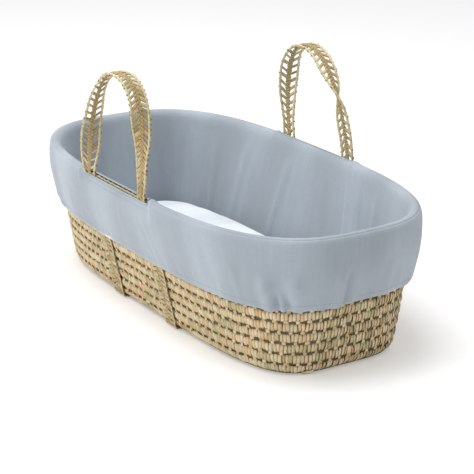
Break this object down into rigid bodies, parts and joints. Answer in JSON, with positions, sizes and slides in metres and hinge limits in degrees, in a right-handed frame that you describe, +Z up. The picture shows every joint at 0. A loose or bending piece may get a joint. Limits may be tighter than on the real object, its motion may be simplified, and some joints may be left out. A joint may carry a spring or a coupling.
{
  "type": "moses basket",
  "caption": "Oblong woven palm basket with two carry handles, a padded blue-grey cotton liner over its rim and a thin mattress with a white sheet.",
  "frame": {"origin": "on the floor under the middle of the basket", "axes": "+X along the basket towards the foot end, +Y to the right side, +Z up"},
  "size_m": [0.8447, 0.4562, 0.4415],
  "materials": {
    "palm_leaf": "matte woven dried palm leaf",
    "palm_cord": "matte twisted palm cord",
    "palm_band": "matte open-woven palm band",
    "liner_cotton": "soft matte brushed cotton, blue grey",
    "liner_binding": "matte cotton binding, blue grey",
    "wadding": "matte fibre wadding",
    "elastic": "matte covered elastic",
    "foam": "matte open-cell foam",
    "mattress_ticking": "matte cotton ticking",
    "sheet_jersey": "soft matte white jersey"
  },
  "bodies": {
    "basket": {"base_centre_plait": "palm_leaf", "base_turn_01": "palm_leaf", "base_turn_02": "palm_leaf", "base_turn_03": "palm_leaf", "base_turn_04": "palm_leaf", "base_turn_05": "palm_leaf", "base_turn_06": "palm_leaf", "base_turn_07": "palm_leaf", "wall_course_01": "palm_leaf", "wall_course_02": "palm_leaf", "wall_course_03": "palm_leaf", "wall_course_04": "palm_leaf", "wall_course_05": "palm_leaf", "wall_course_06": "palm_leaf", "wall_course_07": "palm_leaf", "wall_course_08": "palm_leaf", "wall_course_09": "palm_leaf", "wall_course_10": "palm_leaf", "wall_course_11": "palm_leaf", "wall_course_12": "palm_leaf", "rim_cord": "palm_cord", "head_carry_strap": "palm_band", "foot_carry_strap": "palm_band", "liner_floor": "liner_cotton", "liner_wadding": "wadding", "liner_inner_wall": "liner_cotton", "liner_fold": "liner_cotton", "liner_skirt": "liner_cotton", "skirt_hem": "liner_cotton", "hem_elastic": "elastic", "left_slot_binding": "liner_binding", "right_slot_binding": "liner_binding"},
    "left_handle": {"left_handle_edge_cords": "palm_cord", "left_handle_plait": "palm_band", "left_handle_rungs": "palm_band"},
    "right_handle": {"right_handle_edge_cords": "palm_cord", "right_handle_plait": "palm_band", "right_handle_rungs": "palm_band"},
    "mattress": {"mattress_core": "foam", "mattress_cover": "mattress_ticking", "fitted_sheet": "sheet_jersey", "sheet_elastic": "elastic"}
  },
  "joints": [
    {"name": "left_handle_fold", "type": "hinge", "parent": "basket", "child": "left_handle", "pos_m": [0, -0.21, 0.243], "axis": [-1, 0, 0], "range_deg": [-100, 55]},
    {"name": "right_handle_fold", "type": "hinge", "parent": "basket", "child": "right_handle", "pos_m": [0, 0.21, 0.243], "axis": [1, 0, 0], "range_deg": [-100, 55]},
    {"name": "mattress_lift", "type": "slide", "parent": "basket", "child": "mattress", "axis": [0, 0, 1], "range_m": [0, 0.4]}
  ]
}
